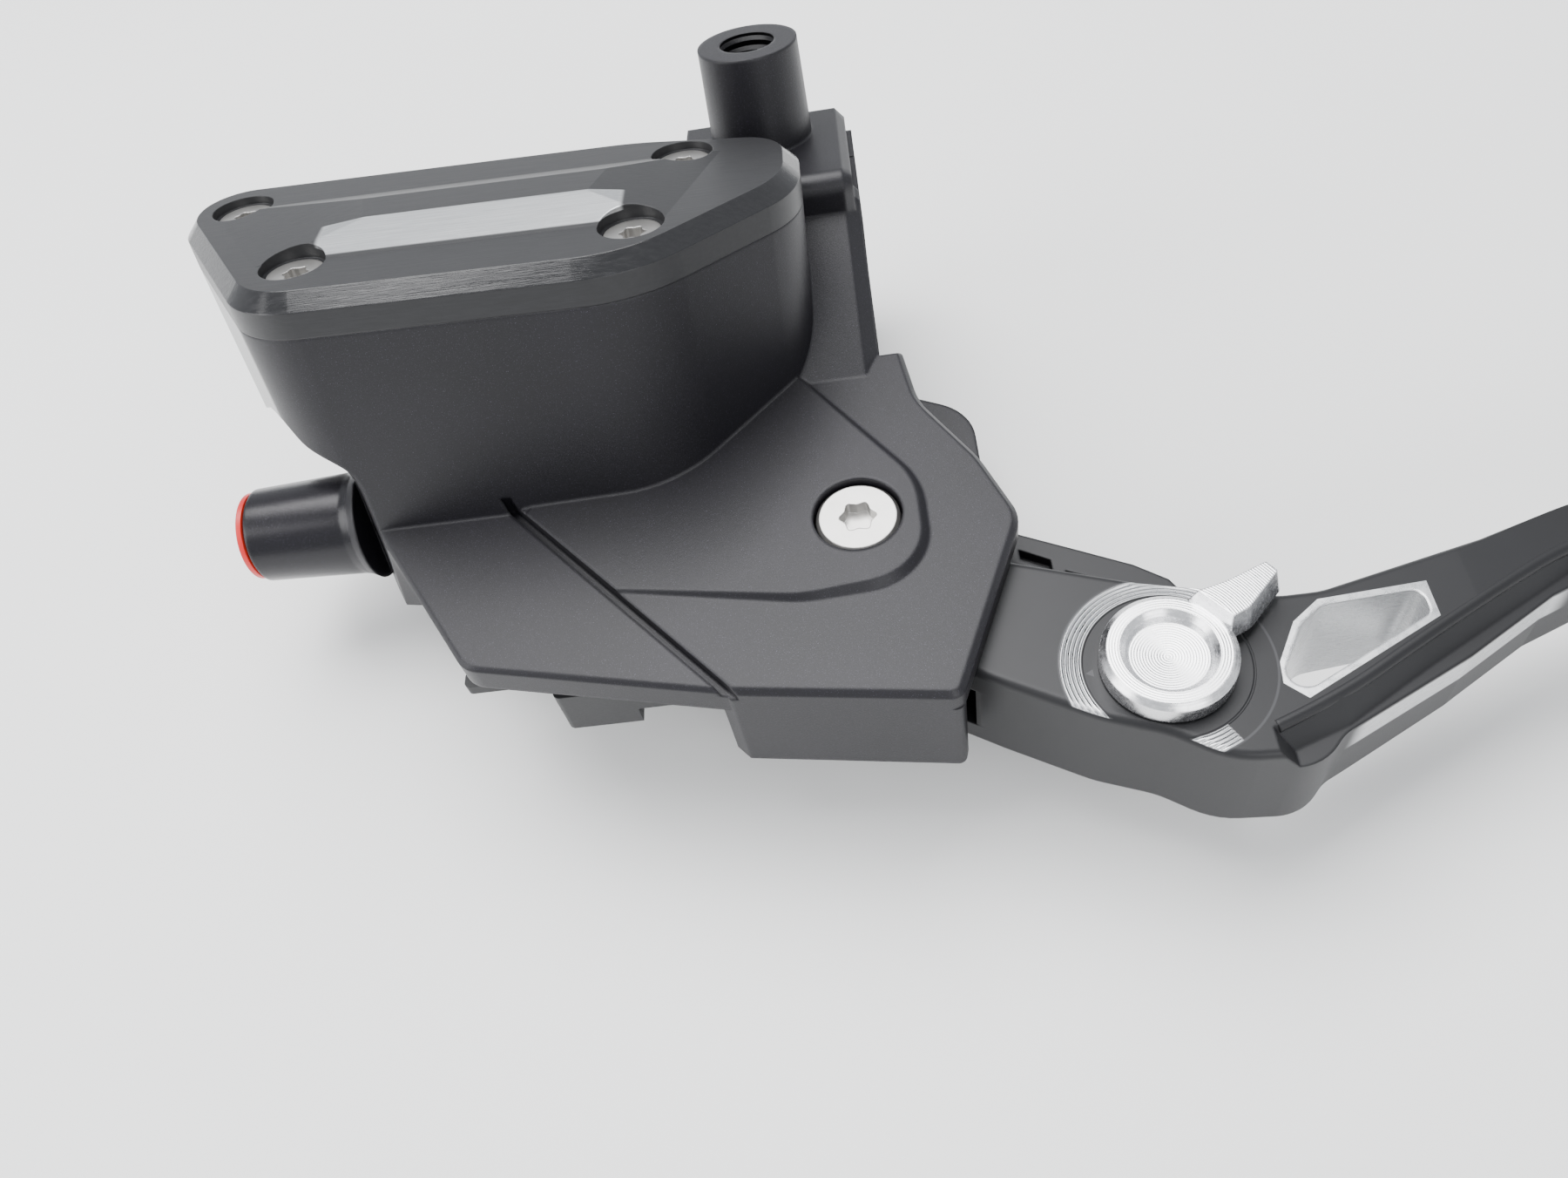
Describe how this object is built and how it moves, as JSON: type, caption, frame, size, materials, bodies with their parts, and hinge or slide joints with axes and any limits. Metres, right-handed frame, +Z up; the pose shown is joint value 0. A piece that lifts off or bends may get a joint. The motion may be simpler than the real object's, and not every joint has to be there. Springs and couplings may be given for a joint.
{
  "type": "brake master cylinder",
  "caption": "Black motorcycle brake master cylinder with tilted reservoir, bar clamp, mirror boss and an adjustable hand lever.",
  "frame": {"origin": "centre of the handlebar clamp bore, halfway along the clamp", "axes": "+X along the handlebar towards the lever tip, +Y towards the rider, +Z up, parallel to the lever pivot"},
  "size_m": [0.279, 0.1248, 0.0715],
  "materials": {
    "cast_black": "cast, satin black powder coat with fine metallic grain",
    "lid_black": "black anodised, brushed",
    "lever_black": "matte black anodised with bright machined edges",
    "steel": "satin, slightly worn",
    "dark_steel": "black oxide",
    "bright_aluminium": "fine turned",
    "knob_black": "satin black anodised",
    "bronze": "plain bearing bronze",
    "rubber": "matte",
    "red_plastic": "smooth moulded",
    "black_plastic": "fine moulded",
    "clear_glass": "polished"
  },
  "bodies": {
    "housing": {"master_cylinder_housing": "cast_black", "reservoir_lid": "lid_black", "reservoir_lid_screws": "steel", "reservoir_diaphragm": "rubber", "diaphragm_plate": "black_plastic", "splash_shield": "black_plastic", "sight_glass": "clear_glass", "sight_glass_seal": "rubber", "outlet_port_cap": "red_plastic", "clamp_cap": "cast_black", "clamp_bolts": "dark_steel", "pivot_bolt": "steel", "pivot_nut": "steel", "piston_stop_washer": "steel", "circlip": "dark_steel", "dust_seal": "rubber", "brake_light_switch": "black_plastic", "switch_screws": "steel", "return_spring": "steel"},
    "carrier": {"lever_carrier": "lever_black", "pivot_bush": "bronze"},
    "blade": {"lever_blade": "lever_black", "detent_ball": "steel", "detent_spring": "steel"},
    "knob": {"adjuster_knob": "bright_aluminium", "adjuster_shaft": "steel", "adjuster_cam": "steel", "knob_retaining_ring": "dark_steel"},
    "piston": {"piston": "bright_aluminium", "primary_cup": "rubber", "secondary_cup": "rubber", "spring_seat": "black_plastic"},
    "plunger": {"switch_plunger": "black_plastic"}
  },
  "joints": [
    {"name": "lever_pivot", "type": "hinge", "parent": "housing", "child": "carrier", "pos_m": [0.008, -0.067, 0], "axis": [0, 0, 1], "range_deg": [0, 16], "stiffness_Nm_per_rad": 0.6, "springref_deg": -2.86},
    {"name": "reach_adjust", "type": "hinge", "parent": "carrier", "child": "blade", "pos_m": [0.008, -0.067, 0], "axis": [0, 0, 1], "range_deg": [0, 5]},
    {"name": "knob_turn", "type": "hinge", "parent": "blade", "child": "knob", "pos_m": [0.0446, -0.0932, 0], "axis": [0, 0, 1], "range_deg": [-75.5, 0]},
    {"name": "piston_slide", "type": "slide", "parent": "housing", "child": "piston", "axis": [-1, 0, 0], "range_m": [0, 0.0065], "deforming": ["return_spring"]},
    {"name": "switch_plunger_slide", "type": "slide", "parent": "housing", "child": "plunger", "axis": [1, 0, 0], "range_m": [0, 0.0025]}
  ],
  "couplings": [
    {"joint": "piston_slide", "follows": "lever_pivot", "m_per_rad": 0.0226},
    {"joint": "switch_plunger_slide", "follows": "lever_pivot", "m_per_rad": 0.0084},
    {"joint": "knob_turn", "follows": "reach_adjust", "ratio": -15}
  ]
}
